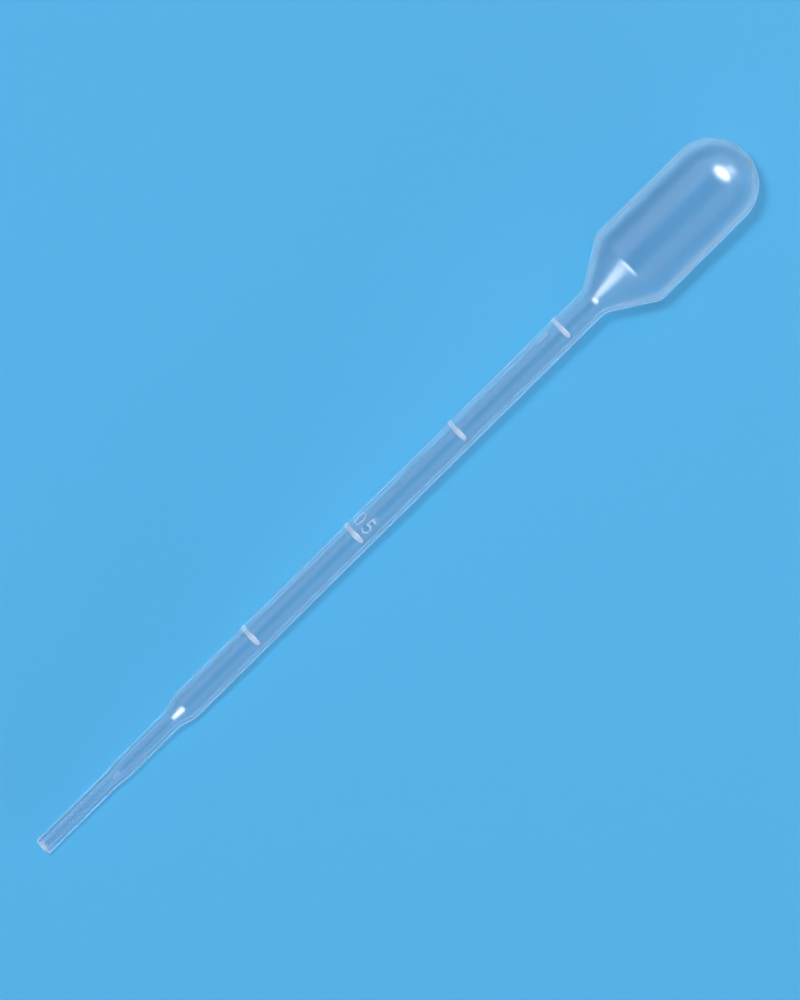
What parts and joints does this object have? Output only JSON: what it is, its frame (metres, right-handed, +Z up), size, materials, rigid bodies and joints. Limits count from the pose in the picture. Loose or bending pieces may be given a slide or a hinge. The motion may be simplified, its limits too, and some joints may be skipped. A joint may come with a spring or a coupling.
{
  "type": "dropper pipette",
  "caption": "Slim soft plastic dropper pipette, closed squeeze bulb at one end and a thin open tip at the other, with raised volume marks along its stem.",
  "frame": {"origin": "on the table the pipette lies on, below the middle of its length", "axes": "+X along the table from the tip to the bulb, +Z up; the pipette's own axis lies in the XZ plane and rises 2.6 degrees towards the bulb, as it comes to rest on the rim of its tip and the shoulder of its bulb"},
  "size_m": [0.15, 0.014, 0.0149],
  "materials": {
    "soft_plastic": "natural low-density polyethylene, milky and see-through, smooth with a soft gloss"
  },
  "bodies": {
    "root": {"pipette": "soft_plastic"}
  },
  "joints": []
}
